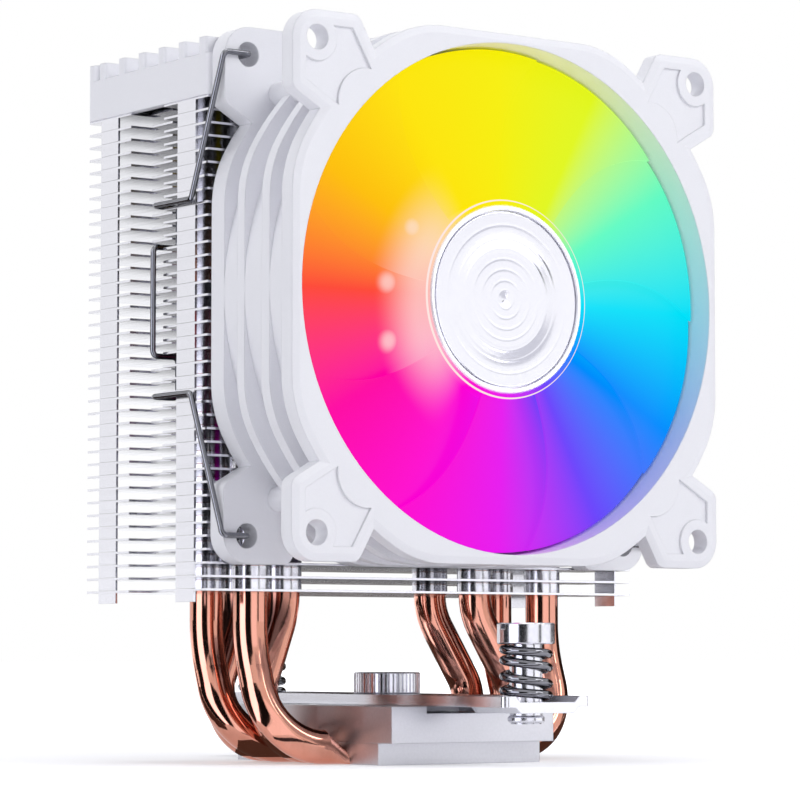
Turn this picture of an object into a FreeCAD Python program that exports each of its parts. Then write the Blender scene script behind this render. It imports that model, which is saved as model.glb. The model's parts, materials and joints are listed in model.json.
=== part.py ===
"""Tower cooler for a processor, with one 92 mm fan.

Millimetres, +Z up. The origin is the middle of the base's contact face. The fan looks
along -Y, so it stands in front of the fins. The fan's own pieces are drawn in the fan's
frame, where +Z runs from its back plane to its front plane, and are then turned upright.
"""
import FreeCAD, Part
import math
import os
import re
import Sketcher
from FreeCAD import Vector

DIMENSIONS = [
    # base: a contact plate with four open grooves, and the clamp block above it
    ("base_width", 35.1), ("plate_depth", 44.1), ("plate_height", 3.8),
    ("block_depth", 52.0), ("block_height", 6.3), ("bar_channel_width", 20.3),
    ("bar_channel_depth", 1.2), ("bar_land_depth", 16.0),
    # heat pipes: outside diameter, the section pressed into the grooves, and the route
    ("pipe_diameter", 6.0), ("pipe_flat_width", 6.6), ("pipe_flat_height", 3.0),
    ("pipe_base_pitch", 6.8), ("pipe_top", 118.0), ("pipe_floor_gap", 0.05),
    ("outer_pipe_x", 32.2), ("inner_pipe_x", 21.3), ("pipe_shoulder", 26.8),
    ("outer_pipe_shoulder", 20.5), ("outer_pipe_bend", 11.0), ("outer_shoulder_bend", 25.0),
    ("inner_pipe_knee_x", 28.2), ("inner_pipe_knee", 12.5), ("inner_pipe_foot_x", 25.2),
    ("inner_pipe_bend", 7.0), ("pipe_shoulder_bend", 13.0),
    ("pipe_one_y", -4.1), ("pipe_two_y", 1.95), ("pipe_three_y", 9.95), ("pipe_four_y", 16.0),
    # fins
    ("fin_count", 38), ("fin_pitch", 2.286), ("fin_thickness", 0.4), ("fin_width", 93.0),
    ("fin_front", -12.3), ("fin_back", 27.3), ("fin_lowest", 29.85), ("fin_collar", 0.3),
    ("collar_height", 1.84), ("tab_width", 5.8), ("tab_drop", 1.85),
    ("front_tab_start", -8.3), ("back_tab_start", 17.4),
    ("recess_start", 1.95), ("recess_end", 12.95), ("ridge_start", 4.1), ("ridge_end", 10.8),
    ("recess_floor", 41.5), ("ridge_face", 43.4),
    # plastic cover over the topmost fin
    ("cover_width", 93.6), ("cover_front", -12.8), ("cover_back", 27.7),
    ("cover_height", 7.25), ("cover_wall", 1.6), ("cover_roof", 1.5), ("cover_corner", 1.2),
    ("cover_rib_width", 2.45), ("cover_rib_height", 2.9), ("cover_rib_pitch", 6.65),
    ("cover_rib_count", 6), ("cover_rib_first", -11.9), ("cover_rib_corner", 0.6),
    ("cover_end_wall", 3.2),
    # mounting bar, its stud and thumb nut
    ("bar_width", 18.5), ("bar_length", 93.6), ("bar_thickness", 1.9), ("bar_corner", 1.0),
    ("press_width", 11.6), ("press_slope", 1.0), ("press_length", 12.6), ("press_drop", 1.0),
    ("screw_spacing", 81.5), ("screw_hole", 6.0), ("stud_diameter", 5.0), ("stud_sink", 5.0),
    ("stud_stand", 4.75), ("stud_chamfer", 0.4), ("thumb_nut_diameter", 12.0), ("thumb_nut_height", 3.8),
    ("thumb_nut_roof", 0.9), ("knurl_count", 44), ("knurl_depth", 0.35), ("knurl_share", 0.36),
    ("deburr", 0.2), ("running_gap", 0.05),
    # spring nuts, their retaining rings and springs
    ("nut_cap_diameter", 9.9), ("nut_cap_height", 3.6), ("nut_top", 24.4),
    ("nut_shank_diameter", 5.6), ("nut_foot", 7.2), ("nut_foot_diameter", 5.2),
    ("nut_thread_diameter", 2.5), ("nut_thread_depth", 12.0), ("nut_slot_width", 1.2),
    ("nut_slot_depth", 1.1), ("ring_diameter", 6.3), ("ring_bottom", 7.5),
    ("ring_height", 1.1), ("ring_groove_diameter", 4.8), ("ring_round", 0.25),
    ("spring_diameter", 9.2), ("spring_wire", 1.3), ("spring_pitch", 2.6),
    # fan: frame outline and its layers, measured from the fan's back plane
    ("fan_size", 92.0), ("fan_depth", 25.0), ("fan_centre_height", 80.35),
    ("fan_back", -12.8), ("fan_hole_pitch", 82.5), ("fan_hole", 4.3),
    ("duct_radius", 46.0), ("bore_radius", 44.3), ("rim_radius", 50.0), ("rim_blend", 20.0),
    ("back_flange", 4.0), ("front_flange", 3.5), ("rib_one", 8.1), ("rib_one_depth", 2.2),
    ("rib_two", 15.5), ("rib_two_depth", 2.4), ("ear_edge", 32.6), ("ear_notch_far", 40.4),
    ("ear_notch_near", 29.4), ("ear_corner", 5.0), ("ear_round", 2.0), ("ear_post_reach", 34.8),
    ("ear_post", 4.4), ("rim_chamfer", 1.3), ("rim_chamfer_depth", 0.45),
    ("dish_edge", 43.5), ("dish_end", 34.04), ("dish_hole_gap", 4.0),
    ("dish_inner_near", 30.23), ("dish_inner_far", 36.95), ("dish_inner_radius", 6.0),
    ("dish_depth", 0.4), ("motor_plate", 18.0), ("motor_plate_depth", 1.6),
    ("strut_width", 4.2), ("strut_depth", 2.5), ("strut_bury", 0.8), ("cable_notch_width", 4.5),
    ("cable_notch_depth", 2.2),
    # fan motor
    ("tube_radius", 3.5), ("tube_bore", 2.5), ("tube_top", 15.5), ("end_cap_depth", 0.8),
    ("end_cap_seat", 0.4), ("sleeve_bottom", 3.0), ("sleeve_top", 14.0),
    ("shaft_radius", 1.0), ("shaft_gap", 0.03), ("shaft_bottom", 1.3), ("shaft_top", 20.6),
    ("keeper_radius", 1.9), ("keeper_bottom", 2.0), ("keeper_depth", 0.4),
    ("board_radius", 17.0), ("board_depth", 1.0), ("led_size", 1.6), ("led_height", 1.0),
    ("led_reach", 15.6), ("led_count", 8), ("core_bottom", 6.0), ("core_depth", 5.0),
    ("core_hub", 5.2), ("pole_inner", 9.8), ("pole_outer", 11.4), ("arm_width", 3.0),
    ("pole_gap", 1.4), ("coil_start", 5.4), ("coil_end", 8.8), ("coil_width", 7.2),
    ("coil_bottom", 5.0), ("coil_depth", 7.0),
    # rotor
    ("magnet_inner", 11.9), ("cup_inner", 13.2), ("cup_outer", 14.2), ("magnet_bottom", 5.0),
    ("magnet_depth", 8.0), ("cup_bottom", 4.6), ("cup_top", 20.4), ("cup_plate", 1.0),
    ("boss_radius", 2.4), ("boss_bottom", 16.6), ("hub_radius", 17.35), ("hub_bottom", 4.4),
    ("hub_front", 23.0), ("hub_seat", 21.6), ("hub_rim_inner", 16.5), ("trim_inner", 15.5),
    ("trim_outer", 16.45), ("trim_height", 1.45), ("trim_chamfer", 0.3), ("cap_radius", 15.25),
    ("cap_edge_height", 1.2), ("cap_middle_height", 0.75), ("cap_edge_round", 0.25),
    ("cap_rim_width", 1.6), ("cap_dish_width", 9.0), ("cap_dish_rise", 0.1),
    ("blade_count", 9), ("blade_tip", 43.1), ("blade_front", 22.4), ("blade_back", 10.4),
    ("blade_thickness", 1.3), ("blade_span_angle", 56.0), ("blade_sweep", 7.0),
    ("blade_bow", 0.1), ("blade_edge_share", 0.55), ("blade_root", 13.5),
    ("blade_overrun", 0.6), ("blade_cut", 16.6),
    # wire clips, one on each side
    ("clip_wire", 1.0), ("clip_bend", 1.0), ("clip_out", 46.6), ("clip_side", 47.75),
    ("clip_hook_y", -17.45), ("clip_tip", 3.6), ("clip_elbow_y", -9.0), ("clip_seat_y", 3.25),
    ("clip_seat_x", 42.6), ("clip_elbow_reach", 16.7), ("clip_handle_reach", 9.55),
]

doc = FreeCAD.newDocument("tower_cooler")
sheet = doc.addObject("Spreadsheet::Sheet", "Dims")
for row, (alias, number) in enumerate(DIMENSIONS, start=1):
    sheet.set("A%d" % row, alias)
    sheet.set("B%d" % row, str(number))
    sheet.setAlias("B%d" % row, alias)
doc.recompute()
ALIASES = {alias for alias, number in DIMENSIONS}
FAN_TURN = FreeCAD.Rotation(Vector(1, 0, 0), 90)


def formula(text):
    """The text with every alias written as a reference to the sheet."""
    return re.sub(r"[a-z_]+", lambda word: "Dims." + word.group()
                  if word.group() in ALIASES else word.group(), str(text))


def value(text):
    """The number that a formula in sheet aliases comes to now."""
    return float(sheet.evalExpression(formula(text)))


# ---------------------------------------------------------------- bodies and sketches

def new_body(label):
    """A body that may hold several separate solids."""
    body = doc.addObject("PartDesign::Body", label)
    body.Label = label
    body.AllowCompound = True
    return body


def origin_feature(body, role):
    return next(item for item in body.Origin.OriginFeatures if item.Role == role)


def new_sketch(body, name, height="0", plane="XY_Plane"):
    """An empty outline on one of the body's own planes, raised by a formula."""
    sketch = body.newObject("Sketcher::SketchObject", name)
    sketch.AttachmentSupport = [(origin_feature(body, plane), "")]
    sketch.MapMode = "FlatFace"
    sketch.setExpression("AttachmentOffset.Base.z", formula(height))
    return sketch


def pin_point(sketch, edge, end, x, y):
    """Fix one end of an edge at two formulas."""
    for kind, text in (("DistanceX", x), ("DistanceY", y)):
        rule = sketch.addConstraint(Sketcher.Constraint(kind, edge, end, value(text)))
        sketch.setExpression("Constraints[%d]" % rule, formula(text))


def fix_radius(sketch, edge, radius):
    rule = sketch.addConstraint(Sketcher.Constraint("Radius", edge, abs(value(radius))))
    sketch.setExpression("Constraints[%d]" % rule, "abs(%s)" % formula(radius))


def arc_between(start, end, radius):
    """The short arc from start to end; a positive radius turns left, a negative one right."""
    chord = end - start
    half = chord.Length / 2
    rise = math.sqrt(max(radius * radius - half * half, 0.0))
    side = Vector(-chord.y, chord.x, 0).normalize() * math.copysign(rise, radius)
    centre = start + chord * 0.5 + side
    first, last = (start, end) if radius > 0 else (end, start)
    angles = [math.atan2(point.y - centre.y, point.x - centre.x) for point in (first, last)]
    circle = Part.Circle(centre, Vector(0, 0, 1), abs(radius))
    return Part.ArcOfCircle(circle, angles[0], angles[1])


def add_outline(sketch, corners):
    """A closed outline. Each corner is (x, y), or (x, y, radius) when an arc leaves it."""
    points = [Vector(value(corner[0]), value(corner[1]), 0) for corner in corners]
    first = sketch.GeometryCount
    ends = []
    for index, corner in enumerate(corners):
        start = points[index]
        end = points[(index + 1) % len(points)]
        if len(corner) == 3:
            radius = value(corner[2])
            sketch.addGeometry(arc_between(start, end, radius), False)
            ends.append((1, 2) if radius > 0 else (2, 1))
        else:
            sketch.addGeometry(Part.LineSegment(start, end), False)
            ends.append((1, 2))
    for index, corner in enumerate(corners):
        edge = first + index
        after = (index + 1) % len(corners)
        sketch.addConstraint(Sketcher.Constraint(
            "Coincident", edge, ends[index][1], first + after, ends[after][0]))
        pin_point(sketch, edge, ends[index][0], corner[0], corner[1])
        if len(corner) == 3:
            fix_radius(sketch, edge, corner[2])


def add_rectangle(sketch, low_x, low_y, high_x, high_y):
    add_outline(sketch, [(low_x, low_y), (high_x, low_y), (high_x, high_y), (low_x, high_y)])


def add_rounded_rectangle(sketch, half_x, low_y, high_y, radius):
    """A rectangle centred across X, with every corner rounded."""
    add_outline(sketch, [
        ("%s - %s" % (half_x, radius), low_y, radius),
        (half_x, "%s + %s" % (low_y, radius)),
        (half_x, "%s - %s" % (high_y, radius), radius),
        ("%s - %s" % (half_x, radius), high_y),
        ("-(%s) + %s" % (half_x, radius), high_y, radius),
        ("-(%s)" % half_x, "%s - %s" % (high_y, radius)),
        ("-(%s)" % half_x, "%s + %s" % (low_y, radius), radius),
        ("-(%s) + %s" % (half_x, radius), low_y)])


def add_circle(sketch, x, y, radius):
    centre = Vector(value(x), value(y), 0)
    edge = sketch.addGeometry(Part.Circle(centre, Vector(0, 0, 1), value(radius)), False)
    pin_point(sketch, edge, 3, x, y)
    fix_radius(sketch, edge, radius)


def extrude(kind, body, sketch, length, reverse=False, both_ways=False):
    """A pad or a pocket of one outline."""
    feature = body.newObject("PartDesign::" + kind, sketch.Name + "_" + kind.lower())
    feature.Profile = sketch
    feature.setExpression("Length", formula(length))
    feature.Reversed = reverse
    feature.Midplane = both_ways
    return feature


def pad(body, sketch, length, **sides):
    return extrude("Pad", body, sketch, length, **sides)


def pocket(body, sketch, length, **sides):
    """A cut, which goes against the outline's normal unless it is reversed."""
    return extrude("Pocket", body, sketch, length, **sides)


def repeat_round(body, features, count):
    """Repeat features evenly about the body's Z axis."""
    pattern = body.newObject("PartDesign::PolarPattern", body.Name + "_round")
    pattern.Originals = features
    pattern.Axis = (origin_feature(body, "Z_Axis"), [""])
    pattern.Angle = 360
    pattern.setExpression("Occurrences", formula(count))
    body.Tip = pattern
    return pattern


def repeat_along(body, features, role, length, count):
    """Repeat features evenly along one of the body's axes, over a length."""
    pattern = body.newObject("PartDesign::LinearPattern", body.Name + "_row")
    pattern.Originals = features
    pattern.Direction = (origin_feature(body, role), [""])
    pattern.setExpression("Length", formula(length))
    pattern.setExpression("Occurrences", formula(count))
    body.Tip = pattern
    return pattern


def mirror_across(body, features, role):
    mirrored = body.newObject("PartDesign::Mirrored", body.Name + "_mirror")
    mirrored.Originals = features
    mirrored.MirrorPlane = (origin_feature(body, role), [""])
    body.Tip = mirrored
    return mirrored


def turned_body(label, profile):
    """A turned piece: a closed profile of (radius, height) corners spun about Z."""
    body = new_body(label)
    sketch = new_sketch(body, label + "_profile", plane="XZ_Plane")
    add_outline(sketch, profile)
    spin = body.newObject("PartDesign::Revolution", label + "_revolution")
    spin.Profile = sketch
    spin.ReferenceAxis = (sketch, ["V_Axis"])
    spin.Angle = 360
    return body


def tube_body(label, inner, outer, bottom, top):
    """A plain ring or tube about Z."""
    return turned_body(label, [(inner, bottom), (outer, bottom), (outer, top), (inner, top)])


def place_in_fan(item):
    """Turn a piece from the fan's own frame to where the fan stands."""
    item.Placement = FreeCAD.Placement(Vector(0, 0, 0), FAN_TURN)
    item.setExpression("Placement.Base.y", formula("fan_back"))
    item.setExpression("Placement.Base.z", formula("fan_centre_height"))
    return item


def feature_of(label, shape):
    """A piece whose shape is worked out from the dimensions."""
    item = doc.addObject("Part::Feature", label)
    item.Label = label
    item.Shape = shape
    return item


# ---------------------------------------------------------------- rods with bends

def straight_rod(start, end, radius):
    return Part.makeCylinder(radius, (end - start).Length, start, end - start)


def bent_rod(points, bends, radius):
    """Straight runs of round rod with a tangent arc of the given bend at each inner point."""
    pieces = []
    start = points[0]
    for before, corner, after, bend in zip(points, points[1:], points[2:], bends):
        incoming = (corner - before).normalize()
        outgoing = (after - corner).normalize()
        turn = incoming.getAngle(outgoing)
        reach = bend * math.tan(turn / 2)
        arc_start = corner - incoming * reach
        axis = incoming.cross(outgoing).normalize()
        centre = arc_start + axis.cross(incoming) * bend
        disc = Part.Face(Part.Wire(Part.makeCircle(radius, arc_start, incoming)))
        pieces.append(straight_rod(start, arc_start, radius))
        pieces.append(disc.revolve(centre, axis, math.degrees(turn)))
        start = corner + outgoing * reach
    pieces.append(straight_rod(start, points[-1], radius))
    return pieces[0].multiFuse(pieces[1:])


# ---------------------------------------------------------------- base

BLOCK_TOP = "(plate_height + block_height)"
BAR_TOP = "(plate_height + block_height + bar_thickness)"


def add_groove_outline(sketch):
    """The section of a pressed pipe, flat below and round at its shoulders, at the first pipe."""
    first = "-1.5 * pipe_base_pitch"
    add_outline(sketch, [
        (first + " - pipe_flat_width / 2", "0"),
        (first + " + pipe_flat_width / 2", "0", "pipe_flat_height"),
        (first + " + pipe_flat_width / 2 - pipe_flat_height", "pipe_flat_height"),
        (first + " - pipe_flat_width / 2 + pipe_flat_height", "pipe_flat_height",
         "pipe_flat_height")])


def build_base_plate():
    """Milled aluminium contact plate, open to four pipes along X."""
    body = new_body("base_plate")
    outline = new_sketch(body, "plate_outline")
    add_rectangle(outline, "-base_width / 2", "-plate_depth / 2",
                  "base_width / 2", "plate_depth / 2")
    pad(body, outline, "plate_height")
    groove = new_sketch(body, "plate_groove", plane="YZ_Plane")
    add_groove_outline(groove)
    cut = pocket(body, groove, "2 * base_width", both_ways=True)
    repeat_along(body, [cut], "Y_Axis", "3 * pipe_base_pitch", "4")


def build_clamp_block():
    """Aluminium block pressed over the pipes, with a channel and a land for the bar."""
    body = new_body("clamp_block")
    outline = new_sketch(body, "block_outline", "plate_height")
    add_rectangle(outline, "-base_width / 2", "-block_depth / 2",
                  "base_width / 2", "block_depth / 2")
    pad(body, outline, "block_height")
    channel = new_sketch(body, "bar_channel", BLOCK_TOP)
    for side in ("-1", "1"):
        edges = sorted((side + " * bar_land_depth / 2", side + " * block_depth"), key=value)
        add_rectangle(channel, "-bar_channel_width / 2", edges[0],
                      "bar_channel_width / 2", edges[1])
    pocket(body, channel, "bar_channel_depth")
    seat = new_sketch(body, "stud_seat", BLOCK_TOP)
    add_circle(seat, "0", "0", "stud_diameter / 2")
    pocket(body, seat, "stud_sink")


# ---------------------------------------------------------------- heat pipes

PRESS_ANGLES = (-130, -50, 78, 102, 230)  # where the round section meets the pressed one's corners
PRESS_OVERLAP = 0.01  # how far the press loft reaches into the round tube


def pipe_section_circle(x, y, height, radius):
    """A round section across X, cut into four arcs that face the pressed section's edges."""
    angles = [math.radians(angle) for angle in PRESS_ANGLES]
    rim = [Vector(x, y + radius * math.cos(angle), height + radius * math.sin(angle))
           for angle in angles]
    edges = []
    for index in range(4):
        middle = (angles[index] + angles[index + 1]) / 2
        through = Vector(x, y + radius * math.cos(middle), height + radius * math.sin(middle))
        edges.append(Part.Arc(rim[index], through, rim[index + 1]).toShape())
    return Part.Wire(edges)


def pipe_section_pressed(x, y):
    """The pressed section: flat on the contact face, with quarter-round shoulders."""
    half = value("pipe_flat_width / 2")
    height = value("pipe_flat_height")
    inner = half - height
    diagonal = height * math.sqrt(0.5)
    low_left = Vector(x, y - half, 0)
    low_right = Vector(x, y + half, 0)
    high_right = Vector(x, y + inner, height)
    high_left = Vector(x, y - inner, height)
    right_bulge = Vector(x, y + inner + diagonal, diagonal)
    left_bulge = Vector(x, y - inner - diagonal, diagonal)
    return Part.Wire([
        Part.LineSegment(low_left, low_right).toShape(),
        Part.Arc(low_right, right_bulge, high_right).toShape(),
        Part.LineSegment(high_right, high_left).toShape(),
        Part.Arc(high_left, left_bulge, low_left).toShape()])


def build_heat_pipe(label, base_y, stack_y, outer):
    """One U-shaped pipe: pressed flat through the base, then up both sides of the fins."""
    radius = value("pipe_diameter / 2")
    low = radius + value("pipe_floor_gap")
    edge = value("base_width / 2")
    top = Vector(value("outer_pipe_x" if outer else "inner_pipe_x"), stack_y,
                 value("pipe_top") - radius)
    if outer:
        foot_bend = value("outer_pipe_bend")
        round_end = top.x - foot_bend
        points = [top, Vector(top.x, stack_y, value("outer_pipe_shoulder")),
                  Vector(top.x, base_y, low)]
        bends = [value("outer_shoulder_bend"), foot_bend]
    else:
        foot_bend = value("inner_pipe_bend")
        points = [top, Vector(top.x, stack_y, value("pipe_shoulder")),
                  Vector(value("inner_pipe_knee_x"), (stack_y + base_y) / 2,
                         value("inner_pipe_knee")),
                  Vector(value("inner_pipe_foot_x"), base_y, low)]
        bends = [value("pipe_shoulder_bend"), foot_bend, foot_bend]
        last_run = points[3] - points[2]
        foot_turn = last_run.getAngle(Vector(-1, 0, 0))
        round_end = points[3].x - foot_bend * math.tan(foot_turn / 2)
    points.append(Vector(round_end, base_y, low))
    arc_only = points[:-1] + [points[-1] - Vector(PRESS_OVERLAP, 0, 0)]
    side = bent_rod(arc_only, bends, radius)
    side = side.fuse(Part.makeSphere(radius, top))
    press = Part.makeLoft([pipe_section_circle(round_end - PRESS_OVERLAP, base_y, low, radius),
                           pipe_section_pressed(edge, base_y)], True, True)
    side = side.fuse(press)
    flat = Part.Face(pipe_section_pressed(-edge, base_y)).extrude(Vector(2 * edge, 0, 0))
    other_side = side.mirror(Vector(0, 0, 0), Vector(1, 0, 0))
    return feature_of(label, flat.multiFuse([side, other_side]))


def build_heat_pipes():
    pitch = value("pipe_base_pitch")
    stack_y = [value(name) for name in ("pipe_one_y", "pipe_two_y", "pipe_three_y", "pipe_four_y")]
    for index, y in enumerate(stack_y):
        build_heat_pipe("heat_pipe_%d" % (index + 1), (index - 1.5) * pitch, y, index % 2 == 0)


# ---------------------------------------------------------------- fins and cover

def pipe_centres():
    """Formulas for the eight places where a pipe passes a fin."""
    names = (("outer_pipe_x", "pipe_one_y"), ("inner_pipe_x", "pipe_two_y"),
             ("outer_pipe_x", "pipe_three_y"), ("inner_pipe_x", "pipe_four_y"))
    return [(side + x, y) for x, y in names for side in ("", "-")]


def build_cooling_fins():
    """Stamped fins with a drawn collar at each pipe and folded tabs that space them."""
    body = new_body("cooling_fins")
    outline = new_sketch(body, "fin_outline", "fin_lowest")
    side = [("fin_width / 2", "fin_front"), ("fin_width / 2", "recess_start"),
            ("recess_floor", "recess_start"), ("recess_floor", "ridge_start"),
            ("ridge_face", "ridge_start"), ("ridge_face", "ridge_end"),
            ("recess_floor", "ridge_end"), ("recess_floor", "recess_end"),
            ("fin_width / 2", "recess_end"), ("fin_width / 2", "fin_back")]
    add_outline(outline, side + [("-(%s)" % x, y) for x, y in reversed(side)])
    for x, y in pipe_centres():
        add_circle(outline, x, y, "pipe_diameter / 2")
    sheet_pad = pad(body, outline, "fin_thickness")
    collars = new_sketch(body, "fin_collars", "fin_lowest + fin_thickness")
    for x, y in pipe_centres():
        add_circle(collars, x, y, "pipe_diameter / 2")
        add_circle(collars, x, y, "pipe_diameter / 2 + fin_collar")
    collar_pad = pad(body, collars, "collar_height")
    tabs = new_sketch(body, "fin_tabs", "fin_lowest")
    for start in ("front_tab_start", "back_tab_start"):
        add_rectangle(tabs, "fin_width / 2 - fin_thickness", start,
                      "fin_width / 2", start + " + tab_width")
        add_rectangle(tabs, "-fin_width / 2", start,
                      "-fin_width / 2 + fin_thickness", start + " + tab_width")
    tab_pad = pad(body, tabs, "tab_drop", reverse=True)
    repeat_along(body, [sheet_pad, collar_pad, tab_pad], "Z_Axis",
                 "(fin_count - 1) * fin_pitch", "fin_count")


COVER_BOTTOM = "(fin_lowest + (fin_count - 1) * fin_pitch + fin_thickness)"


def build_top_cover():
    """Moulded cover: a hollow lid with ribs along X and a wall along its back."""
    body = new_body("top_cover")
    outline = new_sketch(body, "cover_outline", COVER_BOTTOM)
    add_rounded_rectangle(outline, "cover_width / 2", "cover_front", "cover_back",
                          "cover_corner")
    pad(body, outline, "cover_height")
    hollow = new_sketch(body, "cover_hollow", COVER_BOTTOM)
    add_rounded_rectangle(hollow, "(cover_width / 2 - cover_wall)",
                          "(cover_front + cover_wall)", "(cover_back - cover_wall)",
                          "cover_rib_corner")
    pocket(body, hollow, "cover_height - cover_roof", reverse=True)
    back_wall = new_sketch(body, "cover_back_wall", COVER_BOTTOM + " + cover_height")
    add_rounded_rectangle(back_wall, "cover_width / 2", "(cover_back - cover_end_wall)",
                          "cover_back", "cover_corner")
    pad(body, back_wall, "cover_rib_height")
    rib = new_sketch(body, "cover_rib", COVER_BOTTOM + " + cover_height")
    add_rounded_rectangle(rib, "cover_width / 2", "cover_rib_first",
                          "(cover_rib_first + cover_rib_width)", "cover_rib_corner")
    first_rib = pad(body, rib, "cover_rib_height")
    repeat_along(body, [first_rib], "Y_Axis", "(cover_rib_count - 1) * cover_rib_pitch",
                 "cover_rib_count")


# ---------------------------------------------------------------- mounting bar and nuts

def add_press_outline(sketch, top, bottom):
    """The trough pressed into the bar's end, wider at its top than at its bottom."""
    wide = "press_width / 2 + press_slope"
    add_outline(sketch, [("-press_width / 2", bottom), ("press_width / 2", bottom),
                         (wide, top), ("-(%s)" % wide, top)])


def build_mounting_bar():
    """Plated steel bar with a trough pressed down at each end for the spring nut."""
    body = new_body("mounting_bar")
    outline = new_sketch(body, "bar_outline", BLOCK_TOP)
    add_rounded_rectangle(outline, "bar_width / 2", "-bar_length / 2", "bar_length / 2",
                          "bar_corner")
    pad(body, outline, "bar_thickness")
    belly = new_sketch(body, "press_belly", "-bar_length / 2", plane="XZ_Plane")
    add_press_outline(belly, BLOCK_TOP, BLOCK_TOP + " - press_drop")
    belly_pad = pad(body, belly, "press_length")
    trough = new_sketch(body, "press_trough", "-bar_length / 2", plane="XZ_Plane")
    add_press_outline(trough, BAR_TOP, BAR_TOP + " - press_drop")
    trough_cut = pocket(body, trough, "press_length", reverse=True)
    mirror_across(body, [belly_pad, trough_cut], "XZ_Plane")
    holes = new_sketch(body, "bar_holes", BAR_TOP)
    add_circle(holes, "0", "0", "stud_diameter / 2")
    for side in ("-", ""):
        add_circle(holes, "0", side + "screw_spacing / 2", "screw_hole / 2")
    pocket(body, holes, "2 * bar_thickness + press_drop")


def build_bar_stud():
    """Plain stud pressed into the block, on which the thumb nut turns."""
    turned_body("bar_stud", [
        ("0", BLOCK_TOP + " - stud_sink"), ("stud_diameter / 2", BLOCK_TOP + " - stud_sink"),
        ("stud_diameter / 2", BLOCK_TOP + " + stud_stand - stud_chamfer"),
        ("stud_diameter / 2 - stud_chamfer", BLOCK_TOP + " + stud_stand"),
        ("0", BLOCK_TOP + " + stud_stand")])


def build_thumb_nut():
    """Knurled nut that holds the bar down: blind from above, straight knurl around."""
    bottom = BAR_TOP + " + running_gap"
    top = bottom + " + thumb_nut_height"
    roof = top + " - thumb_nut_roof"
    bore = "stud_diameter / 2 + running_gap"
    edge = "thumb_nut_diameter / 2"
    body = turned_body("thumb_nut", [
        (bore, bottom), (edge + " - deburr", bottom), (edge, bottom + " + deburr"),
        (edge, top + " - deburr"), (edge + " - deburr", top), ("0", top), ("0", roof),
        (bore, roof)])
    knurl = new_sketch(body, "knurl_groove", top)
    tooth = math.pi * value("thumb_nut_diameter") / value("knurl_count")
    half = "%.3f" % (tooth * value("knurl_share"))
    add_outline(knurl, [(edge + " - knurl_depth", "0"), (edge + " + knurl_depth", "-" + half),
                        (edge + " + knurl_depth", half)])
    groove = pocket(body, knurl, "thumb_nut_height")
    repeat_round(body, [groove], "knurl_count")


def build_spring_nut(label, side):
    """Capped nut with a hollow threaded shank; side is the sign of its place along Y."""
    shank = "nut_shank_diameter / 2"
    groove = "ring_groove_diameter / 2"
    foot = "nut_foot_diameter / 2"
    cap = "nut_cap_diameter / 2"
    thread = "nut_thread_diameter / 2"
    ring_low = "ring_bottom - running_gap"
    ring_high = "ring_bottom + ring_height + running_gap"
    cap_low = "nut_top - nut_cap_height"
    body = turned_body(label, [
        (thread, "nut_foot"), (foot, "nut_foot"), (foot, ring_low), (groove, ring_low),
        (groove, ring_high), (shank, ring_high), (shank, cap_low), (cap + " - deburr", cap_low),
        (cap, cap_low + " + deburr"), (cap, "nut_top - deburr"), (cap + " - deburr", "nut_top"),
        ("0", "nut_top"), ("0", "nut_foot + nut_thread_depth"),
        (thread, "nut_foot + nut_thread_depth")])
    slot = new_sketch(body, label + "_slot", "nut_top")
    add_rectangle(slot, "-nut_cap_diameter", "-nut_slot_width / 2",
                  "nut_cap_diameter", "nut_slot_width / 2")
    pocket(body, slot, "nut_slot_depth")
    body.setExpression("Placement.Base.y", formula(side + "screw_spacing / 2"))


def build_retaining_ring(label, side):
    """Ring sprung into the shank's groove, which stops the nut below the bar."""
    inner = "ring_groove_diameter / 2 + running_gap"
    outer = "ring_diameter / 2"
    low = "ring_bottom"
    high = "ring_bottom + ring_height"
    body = turned_body(label, [
        (inner, low), (outer + " - ring_round", low), (outer, low + " + ring_round"),
        (outer, high + " - ring_round"), (outer + " - ring_round", high), (inner, high)])
    body.setExpression("Placement.Base.y", formula(side + "screw_spacing / 2"))


def build_spring(label, side):
    """Left-hand compression spring between the bar's trough and the nut's cap."""
    wire = value("spring_wire")
    coil = value("(spring_diameter - spring_wire) / 2")
    low = value(BAR_TOP + " - press_drop") + wire / 2
    high = value("nut_top - nut_cap_height") - wire / 2
    helix = Part.makeHelix(value("spring_pitch"), high - low, coil, 0, True)
    section = Part.Wire(Part.makeCircle(wire / 2, Vector(coil, 0, 0), Vector(0, 1, 0)))
    wound = Part.Wire(helix.Edges).makePipeShell([section], True, True)
    wound.translate(Vector(0, value(side + "screw_spacing / 2"), low))
    feature_of(label, wound)


# ---------------------------------------------------------------- fan frame

def add_ear_outline(sketch):
    """One corner ear, from the notch on one side round to the notch on the other."""
    edge = "fan_size / 2"
    run, rise = "(%s - ear_notch_far)" % edge, "(ear_edge - ear_notch_near)"
    slope = "sqrt(%s ^ 2 + %s ^ 2)" % (run, rise)
    tangent = "(ear_round * (%s - %s) / %s)" % (slope, rise, run)
    round_far = "%s - %s * %s / %s" % (edge, tangent, run, slope)
    round_near = "ear_edge - %s * %s / %s" % (tangent, rise, slope)
    round_end = "ear_edge + %s" % tangent
    add_outline(sketch, [
        ("ear_notch_near", "ear_notch_near"), ("ear_notch_far", "ear_notch_near"),
        (round_far, round_near, "ear_round"), (edge, round_end),
        (edge, edge + " - ear_corner", "ear_corner"), (edge + " - ear_corner", edge),
        (round_end, edge, "ear_round"), (round_near, round_far),
        ("ear_notch_near", "ear_notch_far")])


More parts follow.
